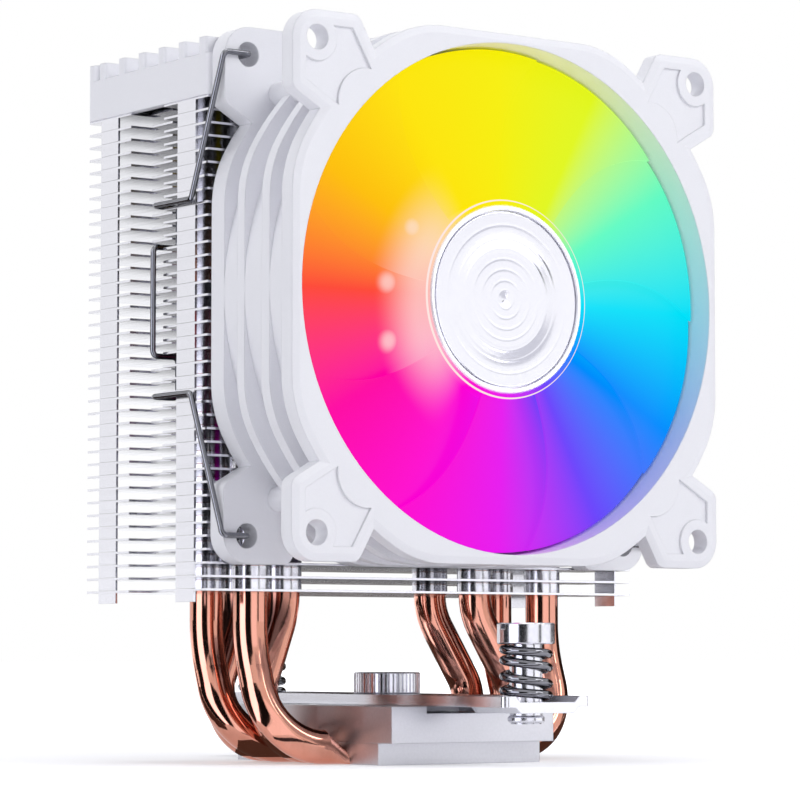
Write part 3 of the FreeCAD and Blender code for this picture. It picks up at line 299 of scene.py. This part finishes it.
def lit_plastic(name, glow, glare):
    """Frosted polycarbonate, lit from inside, with this strength of glow and of whitish glare.

    Faces that look back glow less, because the chips shine forward.
    """
    material = finish(name, "F2F2F6", "E6E6EC", 0.0, 0.34, 0.4, relief=0.006, edge=0.1)
    tree = material.node_tree
    shader = tree.nodes["Principled BSDF"]
    place = tree.nodes["Texture Coordinate"].outputs["Object"]
    centred = add(tree, "ShaderNodeMapping", {"Location": -axis_point}, {"Vector": place})
    parts = add(tree, "ShaderNodeSeparateXYZ", links={"Vector": centred.outputs["Vector"]})
    angle = add(tree, "ShaderNodeMath", {"operation": "ARCTAN2"},
                {0: parts.outputs["X"], 1: parts.outputs["Z"]})
    turn = add(tree, "ShaderNodeMapRange", {"From Min": -math.pi, "From Max": math.pi},
               {"Value": angle.outputs["Value"]})
    ramp = add(tree, "ShaderNodeValToRGB", links={"Fac": turn.outputs["Result"]})
    stops = ramp.color_ramp.elements
    while len(stops) < len(LED_COLOURS) + 1:
        stops.new(0.5)
    for index, stop in enumerate(stops):
        stop.position = index / len(LED_COLOURS)
    for index, stop in enumerate(stops):
        stop.color = linear(LED_COLOURS[index % len(LED_COLOURS)])
    in_plane = add(tree, "ShaderNodeCombineXYZ", {"Y": 0.0},
                   {"X": parts.outputs["X"], "Z": parts.outputs["Z"]})
    radius = add(tree, "ShaderNodeVectorMath", {"operation": "LENGTH"},
                 {0: in_plane.outputs["Vector"]})
    left = add(tree, "ShaderNodeMath", {"operation": "DIVIDE"},
               {0: parts.outputs["X"], 1: radius.outputs["Value"]})
    glare_side = add(tree, "ShaderNodeMapRange",
                     {"interpolation_type": "SMOOTHSTEP", "From Min": GLARE_STARTS,
                      "From Max": GLARE_FULL},
                     {"Value": left.outputs["Value"]})
    glare_reach = add(tree, "ShaderNodeMapRange",
                      {"interpolation_type": "SMOOTHSTEP", "From Min": GLARE_NEAR,
                       "From Max": GLARE_FAR, "To Min": glare, "To Max": 0.0},
                      {"Value": radius.outputs["Value"]})
    pale = add(tree, "ShaderNodeMath", {"operation": "MULTIPLY"},
               {0: glare_side.outputs["Result"], 1: glare_reach.outputs["Result"]})
    # The painted highlight on the hub shell's lip.
    ring = add(tree, "ShaderNodeMath", {"operation": "COMPARE", 1: LIP_HIGHLIGHT_RADIUS, 2: LIP_HIGHLIGHT_HALF_WIDTH},
               {0: radius.outputs["Value"]})
    painted_highlights = [ring.outputs["Value"]]
    for spot in CHIP_GLINTS:
        away = add(tree, "ShaderNodeVectorMath", {"operation": "DISTANCE", 1: spot},
                   {0: in_plane.outputs["Vector"]})
        glint = add(tree, "ShaderNodeMapRange",
                    {"interpolation_type": "SMOOTHERSTEP", "From Min": GLINT_MIDDLE,
                     "From Max": GLINT_EDGE, "To Min": GLINT_WHITENESS, "To Max": 0.0},
                    {"Value": away.outputs["Value"]})
        painted_highlights.append(glint.outputs["Result"])
    for white in painted_highlights:
        pale = add(tree, "ShaderNodeMath", {"operation": "MAXIMUM"},
                   {0: pale.outputs["Value"], 1: white})
    # The chips' light is painted into the plastic: this is its glow, and a dim copy is its base
    # colour.
    glow_colour = add(tree, "ShaderNodeMix", {"data_type": "RGBA", 7: linear("FFE9E4")},
                      {"Factor": pale.outputs["Value"], 6: ramp.outputs["Color"]})
    dim_glow_base = add(tree, "ShaderNodeMix", {"data_type": "RGBA", "blend_type": "MULTIPLY",
                                              "Factor": 1.0, 7: linear("222222")},
                      {6: glow_colour.outputs[2]})
    tree.links.new(dim_glow_base.outputs[2], shader.inputs["Base Color"])
    facing = add(tree, "ShaderNodeSeparateXYZ",
                 links={"Vector": tree.nodes["Texture Coordinate"].outputs["Normal"]})
    strength = add(tree, "ShaderNodeMapRange",
                   {"From Min": -0.1, "From Max": 0.1, "To Min": glow, "To Max": glow * BACK_GLOW},
                   {"Value": facing.outputs["Y"]})
    tree.links.new(glow_colour.outputs[2], shader.inputs["Emission Color"])
    tree.links.new(strength.outputs["Result"], shader.inputs["Emission Strength"])
    shader.inputs["Specular IOR Level"].default_value = 0.05
    return material


lit_blades = lit_plastic("lit_frosted_polycarbonate", 0.97, 0.6)
print("lit plastic measured about", tuple(round(v / MM, 2) for v in axis_point), "mm")


# %% [markdown]
# ## The hub's cap
# A thin aluminium disc, spun on a lathe and lacquered white-silver, closes the hub. Spinning leaves
# concentric ripples, which only show where they turn a reflection aside.

# %% White hub finishes
hub_white = finish("white_lacquered_plastic", "F6F6FE", "F0F0F9", 0.0, 0.2, 0.6, relief=0.003,
                   edge=0.15)
satin_trim = finish("satin_lacquered_trim", "FAFAFF", "F4F4FA", 1.0, 0.5, 0.6, relief=0.002,
                    edge=0.15)
spun_disc = finish("spun_lacquered_aluminium", "F8F8FF", "F2F2FB", 1.0, 0.16, 0.8, relief=0.001,
                   edge=0.05)

# %% [markdown]
# ## Give every solid its finish
# The record names a material slot for each solid. Reading it keeps the finishes and the record the
# same, and a dictionary says which finish each slot gets.

# %% Finishes by slot
FINISHES = {
    "milled_aluminium": block_aluminium, "fin_aluminium": fin_aluminium, "copper": drawn_copper,
    "winding_copper": winding_wire, "white_plastic": white_plastic, "plated_steel": nickel_plate,
    "spring_steel": spring_chrome, "clip_steel": drawn_wire, "frosted_plastic": lit_blades,
    "hub_white": hub_white, "turned_brass": turned_nickel, "dark_plastic": dark_nylon,
    "keeper_plastic": keeper_nylon, "board_laminate": board_laminate, "led_resin": led_resin,
    "core_steel": sheet_steel, "cup_steel": pressed_steel, "magnet": ferrite,
    "ground_steel": ground_steel,
}
slot_of = {part["node"]: part["material_slot"] for part in frame["record"]["subparts"]}
OWN_FINISH = {"sleeve_bearing": sleeve_bronze, "hub_trim_ring": satin_trim}


def dress(piece, material):
    """Gives a whole piece one material."""
    piece.data.materials.clear()
    piece.data.materials.append(material)


for name, solid in nodes.items():
    dress(solid, OWN_FINISH.get(name, FINISHES[slot_of[name]]))
print(len(nodes), "solids dressed in", len(set(slot_of.values())), "slots")

# %% [markdown]
# ## Pieces that follow a rule
# A Geometry Nodes tree turns a rule into a mesh. To keep each tree readable, one helper makes an
# empty tree with named inputs, and another runs it: it fills in the inputs, takes the result as a
# plain mesh and hands it to a piece that rides on its body.

# %% Helpers for geometry trees
def new_tree(name, sizes):
    """An empty geometry tree with one input for each of these sizes."""
    tree = bpy.data.node_groups.new(name, "GeometryNodeTree")
    for label, size in sizes.items():
        kind = "NodeSocketInt" if isinstance(size, int) else "NodeSocketFloat"
        tree.interface.new_socket(label, in_out="INPUT", socket_type=kind)
    tree.interface.new_socket("Geometry", in_out="OUTPUT", socket_type="NodeSocketGeometry")
    source = tree.nodes.new("NodeGroupInput")
    return tree, source.outputs


def math_node(tree, operation, *values):
    """One sum on numbers or on the outputs of other nodes, returned as an output."""
    settings = {index: value for index, value in enumerate(values) if isinstance(value, float)}
    links = {index: value for index, value in enumerate(values) if not isinstance(value, float)}
    return add(tree, "ShaderNodeMath", {"operation": operation, **settings}, links).outputs[0]


def close_tree(tree, geometry, material):
    """Ends a tree with real geometry in one material."""
    real = add(tree, "GeometryNodeRealizeInstances", links={"Geometry": geometry})
    painted = add(tree, "GeometryNodeSetMaterial", {"Material": material},
                  {"Geometry": real.outputs["Geometry"]})
    end = tree.nodes.new("NodeGroupOutput")
    tree.links.new(painted.outputs["Geometry"], end.inputs["Geometry"])


def grow(name, tree, sizes, place, material):
    """Runs a tree with these sizes and returns its mesh as a piece, moved by this matrix."""
    seed_mesh = bpy.data.meshes.new(name + "_seed")
    seed = bpy.data.objects.new(name + "_seed", seed_mesh)
    scene.collection.objects.link(seed)
    modifier = seed.modifiers.new("rule", "NODES")
    modifier.node_group = tree
    sockets = {item.name: item.identifier for item in tree.interface.items_tree
               if item.item_type == "SOCKET" and item.in_out == "INPUT"}
    for label, size in sizes.items():
        modifier[sockets[label]] = size
    shape = seed.evaluated_get(bpy.context.evaluated_depsgraph_get())
    mesh = bpy.data.meshes.new_from_object(shape)
    bpy.data.objects.remove(seed)
    mesh.transform(place)
    tidy = bmesh.new()
    tidy.from_mesh(mesh)
    bmesh.ops.remove_doubles(tidy, verts=tidy.verts, dist=0.001 * MM)
    bmesh.ops.recalc_face_normals(tidy, faces=tidy.faces)
    tidy.to_mesh(mesh)
    tidy.free()
    piece = bpy.data.objects.new(name, mesh)
    scene.collection.objects.link(piece)
    dress(piece, material)
    print(name, len(mesh.polygons), "faces")
    return piece


def shade(piece, angle):
    """Smooth shading, except across edges sharper than this many degrees."""
    piece.data.shade_smooth()
    piece.data.set_sharp_from_angle(angle=math.radians(angle))


# %% [markdown]
# ## The springs
# Each spring nut is pushed up by a compression spring of round wire. Its end coils are closed, so
# they lie against the bar and the nut's cap. The rule is a line of points: the angle grows evenly,
# and the height grows slowly near both ends and faster between them. The wire is left-hand wound.

# %% The rule for a coil
def coil_tree():
    sizes = {"Steps": 260, "Turns": 3.8, "Radius": 3.95 * MM, "Height": 8.5 * MM,
             "Wire radius": 0.76 * MM, "Closing": 0.3}
    tree, given = new_tree("closed_end_coil", sizes)
    line = add(tree, "GeometryNodeMeshLine", links={"Count": given["Steps"]})
    index = add(tree, "GeometryNodeInputIndex").outputs["Index"]
    last = math_node(tree, "SUBTRACT", given["Steps"], 1.0)
    share = math_node(tree, "DIVIDE", index, last)
    turn = math_node(tree, "MULTIPLY", math_node(tree, "MULTIPLY", share, -2 * math.pi),
                     given["Turns"])
    wave = math_node(tree, "SINE", math_node(tree, "MULTIPLY", share, 2 * math.pi))
    slow = math_node(tree, "MULTIPLY", math_node(tree, "DIVIDE", wave, 2 * math.pi),
                     given["Closing"])
    rise = math_node(tree, "MULTIPLY", math_node(tree, "SUBTRACT", share, slow), given["Height"])
    point = add(tree, "ShaderNodeCombineXYZ", links={
        "X": math_node(tree, "MULTIPLY", math_node(tree, "COSINE", turn), given["Radius"]),
        "Y": math_node(tree, "MULTIPLY", math_node(tree, "SINE", turn), given["Radius"]),
        "Z": rise})
    placed = add(tree, "GeometryNodeSetPosition",
                 links={"Geometry": line.outputs["Mesh"], "Position": point.outputs["Vector"]})
    path = add(tree, "GeometryNodeMeshToCurve", links={"Mesh": placed.outputs["Geometry"]})
    section = add(tree, "GeometryNodeCurvePrimitiveCircle", {"Resolution": 14},
                  {"Radius": given["Wire radius"]})
    wire = add(tree, "GeometryNodeCurveToMesh", {"Fill Caps": True},
               {"Curve": path.outputs["Curve"], "Profile Curve": section.outputs["Curve"]})
    close_tree(tree, wire.outputs["Mesh"], spring_chrome)
    return tree, sizes


coil_rule, coil_sizes = coil_tree()

# %% Two springs from one rule
WIRE_END = math.radians(40)
for end, joint in (("front", "front_nut_press"), ("rear", "rear_nut_press")):
    low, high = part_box("spring_" + end)
    wire_radius = coil_sizes["Wire radius"]
    sizes = dict(coil_sizes)
    sizes["Radius"] = (high.x - low.x) / 2 - wire_radius
    sizes["Height"] = high.z - low.z - 2 * wire_radius
    foot = Vector(((low.x + high.x) / 2, (low.y + high.y) / 2, low.z + wire_radius))
    turned = Matrix.Translation(foot) @ Matrix.Rotation(WIRE_END, 4, "Z")
    coil = grow("coil_" + end, coil_rule, sizes, turned, spring_chrome)
    shade(coil, 40)
    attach(coil, "heatsink")
    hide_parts("spring_" + end)
    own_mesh(coil)

# %% [markdown]
# ## The blades
# Nine blades stand round the hub. Each is a curved plate: along its chord it turns round the axis
# while it moves from the back of the duct to the front, and its tip is swept. The rule takes a flat
# box divided into a grid, and bends it: the box's X becomes the chord, Y the radius, Z the thickness.

# %% The rule for a blade
def blade_tree():
    sizes = {"Blades": 9, "Root radius": 17.0 * MM, "Tip radius": 43.8 * MM, "Chord angle": 1.3,
             "Sweep": 0.25, "Depth": 8.0 * MM, "Camber": 1.0 * MM, "Thickness": 1.3 * MM}
    tree, given = new_tree("fan_blades", sizes)
    plate = add(tree, "GeometryNodeMeshCube", {"Size": (1, 1, 1), "Vertices X": 30,
                                               "Vertices Y": 18, "Vertices Z": 2})
    here = add(tree, "GeometryNodeInputPosition")
    parts = add(tree, "ShaderNodeSeparateXYZ", links={"Vector": here.outputs["Position"]})
    chord, span, side = parts.outputs
    out = math_node(tree, "ADD", span, 0.5)
    radius = math_node(tree, "ADD", given["Root radius"], math_node(
        tree, "MULTIPLY", out, math_node(tree, "SUBTRACT", given["Tip radius"],
                                         given["Root radius"])))
    swept = math_node(tree, "MULTIPLY", math_node(tree, "POWER", out, 2.0), given["Sweep"])
    bow = math_node(tree, "COSINE", math_node(tree, "MULTIPLY", chord, math.pi))
    full = math_node(tree, "ADD", math_node(tree, "MULTIPLY", bow, 0.7), 0.3)
    offset = math_node(tree, "MULTIPLY", math_node(tree, "MULTIPLY", side, given["Thickness"]),
                       full)
    chord_run = math_node(tree, "MULTIPLY", radius, given["Chord angle"])
    steep = math_node(tree, "ARCTAN2", given["Depth"], chord_run)
    around = math_node(tree, "MULTIPLY", offset, math_node(tree, "SINE", steep))
    along = math_node(tree, "MULTIPLY", offset, math_node(tree, "COSINE", steep))
    angle = math_node(tree, "ADD", math_node(tree, "MULTIPLY", chord, given["Chord angle"]),
                      swept)
    angle = math_node(tree, "SUBTRACT", angle, math_node(tree, "DIVIDE", around, radius))
    shallow = math_node(tree, "SUBTRACT", 1.0, math_node(tree, "MULTIPLY", out, 0.5))
    depth = math_node(tree, "MULTIPLY", chord, math_node(tree, "MULTIPLY", shallow,
                                                         given["Depth"]))
    depth = math_node(tree, "ADD", depth, math_node(tree, "MULTIPLY", bow, given["Camber"]))
    depth = math_node(tree, "ADD", depth, along)
    point = add(tree, "ShaderNodeCombineXYZ", links={
        "X": math_node(tree, "MULTIPLY", radius, math_node(tree, "SINE", angle)),
        "Y": math_node(tree, "MULTIPLY", depth, -1.0),
        "Z": math_node(tree, "MULTIPLY", radius, math_node(tree, "COSINE", angle))})
    bent = add(tree, "GeometryNodeSetPosition",
               links={"Geometry": plate.outputs["Mesh"], "Position": point.outputs["Vector"]})
    centres = add(tree, "GeometryNodePoints", {"Radius": MM}, {"Count": given["Blades"]})
    step = math_node(tree, "DIVIDE", 2 * math.pi, given["Blades"])
    number = add(tree, "GeometryNodeInputIndex").outputs["Index"]
    turn = add(tree, "ShaderNodeCombineXYZ",
               links={"Y": math_node(tree, "MULTIPLY", number, step)})
    ring = add(tree, "GeometryNodeInstanceOnPoints", links={
        "Points": centres.outputs["Points"], "Instance": bent.outputs["Geometry"],
        "Rotation": turn.outputs["Vector"]})
    close_tree(tree, ring.outputs["Instances"], lit_blades)
    return tree, sizes


blade_rule, blade_sizes = blade_tree()

# %% Nine blades in the duct
BLADE_MIDDLE = fan_low.y + 4.8 * MM
blades = grow("fan_blades", blade_rule, blade_sizes,
              Matrix.Translation((axis_point.x, BLADE_MIDDLE, axis_point.z)), lit_blades)
shade(blades, 45)
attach(blades, "fan_rotor")
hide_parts("impeller")

# %% [markdown]
# ## Turned pieces
# The hub's shell and its cap are round about the fan's axis, so one helper spins a profile round it.
# A profile is a list of points: the distance from the axis, and the distance in front of the fan's
# back face. The cap's profile is a formula, a dished disc with fine ripples.

# %% A helper that spins a profile
BACK_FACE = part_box("fan_frame")[1].y
ROUND_STEPS = 160


def spin_profile(name, profile, steps, material):
    """Spins a closed profile round the fan's axis. It may begin and end on the axis."""
    shape = bmesh.new()
    rings = []
    for radius, height in profile:
        y = BACK_FACE - height * MM
        if radius == 0:
            rings.append([shape.verts.new((axis_point.x, y, axis_point.z))])
            continue
        rings.append([shape.verts.new((
            axis_point.x + radius * MM * math.sin(2 * math.pi * step / steps), y,
            axis_point.z + radius * MM * math.cos(2 * math.pi * step / steps)))
            for step in range(steps)])
    closed = profile[0][0] > 0
    pairs = zip(rings, rings[1:] + rings[:1]) if closed else zip(rings, rings[1:])
    for one, two in pairs:
        for step in range(steps):
            after = (step + 1) % steps
            corners = [one[step % len(one)], two[step % len(two)],
                       two[after % len(two)], one[after % len(one)]]
            shape.faces.new(list(dict.fromkeys(corners)))
    bmesh.ops.recalc_face_normals(shape, faces=shape.faces)
    mesh = bpy.data.meshes.new(name)
    shape.to_mesh(mesh)
    shape.free()
    piece = bpy.data.objects.new(name, mesh)
    scene.collection.objects.link(piece)
    dress(piece, material)
    shade(piece, 30)
    print(name, len(mesh.polygons), "faces")
    return piece


# %% The hub's shell
hub_shell = spin_profile("hub_shell", [
    (14.25, 4.4), (17.05, 4.4), (17.35, 4.7), (17.35, 22.7), (17.25, 22.92), (17.05, 23.0),
    (16.75, 23.0), (16.56, 22.92), (16.5, 22.7), (16.5, 21.6), (2.4, 21.6), (2.4, 20.45),
    (14.25, 20.45)], ROUND_STEPS, lit_blades)
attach(hub_shell, "fan_rotor")
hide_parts("impeller")


# %% The rippled cap
CAP_RINGS = [1.6, 3.3, 5.2, 7.05, 8.95, 10.7, 12.9]
CAP_RADIUS, CAP_STEPS = 15.0, 180
DISH_FLAT, DISH_SLOPE = 8.0, 4.2
RIPPLE_DEPTH, RIPPLE_WIDTH = 0.024, 0.24
POINT_HEIGHT, POINT_WIDTH = 0.16, 0.9


def cap_profile():
    """A flat rim, a shallow dish inside it, fine ripples in the dish and a raised middle point."""
    edge, floor = 22.8, 22.42
    points = [(0, 21.62), (15.46, 21.62), (15.46, 21.9), (15.2, 21.9), (15.2, edge - 0.1),
              (15.1, edge)]
    for step in range(CAP_STEPS, -1, -1):
        radius = CAP_RADIUS * step / CAP_STEPS
        dish = min(max((radius - DISH_FLAT) / DISH_SLOPE, 0), 1)
        ease = dish * dish * (3 - 2 * dish)
        ripple = sum(RIPPLE_DEPTH * math.exp(-((radius - ring) / RIPPLE_WIDTH) ** 2)
                     for ring in CAP_RINGS)
        point = POINT_HEIGHT * math.exp(-(radius / POINT_WIDTH) ** 2)
        points.append((radius, floor + (edge - floor) * ease - ripple + point))
    return points


hub_cap = spin_profile("hub_cap", cap_profile(), ROUND_STEPS, spun_disc)
shade(hub_cap, 60)
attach(hub_cap, "fan_rotor")
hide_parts("hub_cap_disc")

# %% [markdown]
# ## The stage
# A pale floor, a white background and soft lamps. The background is white only for rays that the
# camera, a mirror or glass sends out, so it brightens reflections but adds no light of its own.
# Polished metal is drawn by what it reflects, so a ring of dark and bright cards, which only mirrors
# see, puts the bands into the copper, the aluminium and the chrome.

# %% Floor and world
def white_for_eyes(tree):
    """One where a ray comes from the camera, a mirror or glass, and nought elsewhere."""
    rays = add(tree, "ShaderNodeLightPath")
    seen = add(tree, "ShaderNodeMath", {"operation": "MAXIMUM"},
               {0: rays.outputs["Is Camera Ray"], 1: rays.outputs["Is Glossy Ray"]})
    return add(tree, "ShaderNodeMath", {"operation": "MAXIMUM"},
               {0: seen.outputs["Value"], 1: rays.outputs["Is Transmission Ray"]}).outputs["Value"]


world = bpy.data.worlds.new("studio")
scene.world = world
world.use_nodes = True
sky = world.node_tree
sky_light = add(sky, "ShaderNodeMix", {"data_type": "RGBA", 6: linear("B8B9BF"),
                                       7: linear("FFFFFF")}, {"Factor": white_for_eyes(sky)})
sky.links.new(sky_light.outputs[2], sky.nodes["Background"].inputs["Color"])

floor_mesh = bpy.data.meshes.new("floor")
REACH = 6.0
DROP = 0.02 * MM
# The floor glows a little for the eye: less near the object, where its shadow has to show.
SHADOW_NEAR, SHADOW_FAR = 0.05, 0.45
NEAR_GLOW = 0.35
floor_mesh.from_pydata([(-REACH, -REACH, -DROP), (REACH, -REACH, -DROP), (REACH, REACH, -DROP),
                        (-REACH, REACH, -DROP)], [], [(0, 1, 2, 3)])
floor = bpy.data.objects.new("floor", floor_mesh)
scene.collection.objects.link(floor)
floor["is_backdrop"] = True
floor_paint = bpy.data.materials.new("studio_floor")
floor_paint.use_nodes = True
floor_tree = floor_paint.node_tree
floor_shader = floor_tree.nodes["Principled BSDF"]
floor_shader.inputs["Roughness"].default_value = 0.9
floor_shader.inputs["Specular IOR Level"].default_value = 0.0
floor_shader.inputs["Base Color"].default_value = linear("F4F4F6")
floor_shader.inputs["Emission Color"].default_value = linear("FFFFFF")
floor_place = add(floor_tree, "ShaderNodeTexCoord").outputs["Object"]
far = add(floor_tree, "ShaderNodeVectorMath", {"operation": "LENGTH"}, {0: floor_place})
fade = add(floor_tree, "ShaderNodeMapRange", {
    "interpolation_type": "SMOOTHSTEP", "From Min": SHADOW_NEAR, "From Max": SHADOW_FAR,
    "To Min": NEAR_GLOW, "To Max": 1.0}, {"Value": far.outputs["Value"]})
lift = math_node(floor_tree, "MULTIPLY", white_for_eyes(floor_tree), fade.outputs["Result"])
floor_tree.links.new(lift, floor_shader.inputs["Emission Strength"])
dress(floor, floor_paint)

# %% Reflector cards
PIPE_FEET = (-0.036, -0.004)
WEDGE_START = 6 * MM
LOW_CARD = 10 * MM


def stand_up(name, mesh, colour, strength):
    """Makes a mesh a glowing piece that only mirrors see."""
    piece = bpy.data.objects.new(name, mesh)
    scene.collection.objects.link(piece)
    paint = bpy.data.materials.new(name)
    paint.use_nodes = True
    shader = paint.node_tree.nodes["Principled BSDF"]
    shader.inputs["Base Color"].default_value = linear("000000")
    shader.inputs["Specular IOR Level"].default_value = 0.0
    shader.inputs["Emission Color"].default_value = linear(colour)
    shader.inputs["Emission Strength"].default_value = strength
    dress(piece, paint)
    piece.visible_camera = False
    piece.visible_diffuse = False
    piece.visible_shadow = False
    piece.visible_transmission = False
    piece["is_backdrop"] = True


def card(name, start, end, top, colour, strength=1.0, bottom=0.001, reach=1.0):
    """A card between two azimuths, seen from the pipes' feet; azimuth 0 is in front of the fan.

    It stands from bottom to top at its reach. A low one also has a wedge on the floor, from the
    feet to the card, so that the undersides of the bends mirror the same stripe.
    """
    turn = math.radians((start + end) / 2)
    out = Vector((math.sin(turn), -math.cos(turn), 0))
    across = Vector((math.cos(turn), math.sin(turn), 0)) * math.tan(math.radians(end - start) / 2)
    feet = Vector((*PIPE_FEET, bottom))
    near = feet + out * WEDGE_START
    far = feet + out * reach
    corners, faces = [], []
    if top > bottom:
        head = Vector((0, 0, top - bottom))
        corners = [far - across * reach, far + across * reach,
                   far + across * reach + head, far - across * reach + head]
        faces = [(0, 1, 2, 3)]
    if bottom < LOW_CARD:
        first = len(corners)
        corners += [near - across * WEDGE_START, near + across * WEDGE_START,
                    far + across * reach, far - across * reach]
        faces.append((first, first + 1, first + 2, first + 3))
    mesh = bpy.data.meshes.new(name)
    mesh.from_pydata(corners, [], faces)
    stand_up(name, mesh, colour, strength)


card("dark_floor_back", -172, -139, 0.0, "4A3A36", reach=0.5)
card("dark_left", -138, -106, 0.3, "141416")
card("bright_left", -104, -66, 0.5, "F2F3FF", 3.0)
card("dark_camera_side", -65, -28, 0.5, "141416")
card("bright_front", -23, 10, 0.4, "F6F6FC", 1.5)
card("dark_line", 17, 27, 0.075, "3A3A40")
card("bright_right", 31, 70, 0.075, "F6F6FC", 1.3, bottom=0.012)
card("dark_right", 76, 146, 0.5, "2C211D", bottom=0.012)
card("brown_floor", 76, 146, 0.0, "54463F", reach=0.6)
card("hub_shade", 20, 43, 0.75, "C2C2CA", bottom=0.25)


# %% Soft lamps
LAMP_AIM = Vector((0, 0, 0.06))


def soft_lamp(name, place, size, power, colour):
    """A round lamp at this place that shines at the middle of the object."""
    data = bpy.data.lights.new(name, "AREA")
    data.shape = "DISK"
    data.size = size
    data.energy = power
    data.color = linear(colour)[:3]
    lamp = bpy.data.objects.new(name, data)
    lamp.location = place
    lamp.rotation_euler = (LAMP_AIM - Vector(place)).to_track_quat("-Z", "Y").to_euler()
    scene.collection.objects.link(lamp)


soft_lamp("key", (0.75, -1.2, 0.9), 0.9, 9, "FFFFFF")
soft_lamp("left_rim", (-1.3, 0.5, 0.9), 0.8, 4.5, "FFFFFF")
soft_lamp("top", (0.0, 0.1, 1.5), 1.0, 5, "FFFFFF")

# %% [markdown]
# ## Finish
# The view transform stays plain, so colours come out as they are written. The construction's box and
# the visual model's box are printed side by side.

# %% Print sizes and finish
scene.view_settings.view_transform = "Standard"
sizes = {"cad": [list(corner) for corner in cad_box],
         "visual": [list(corner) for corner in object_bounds()]}
print("sizes", sizes)
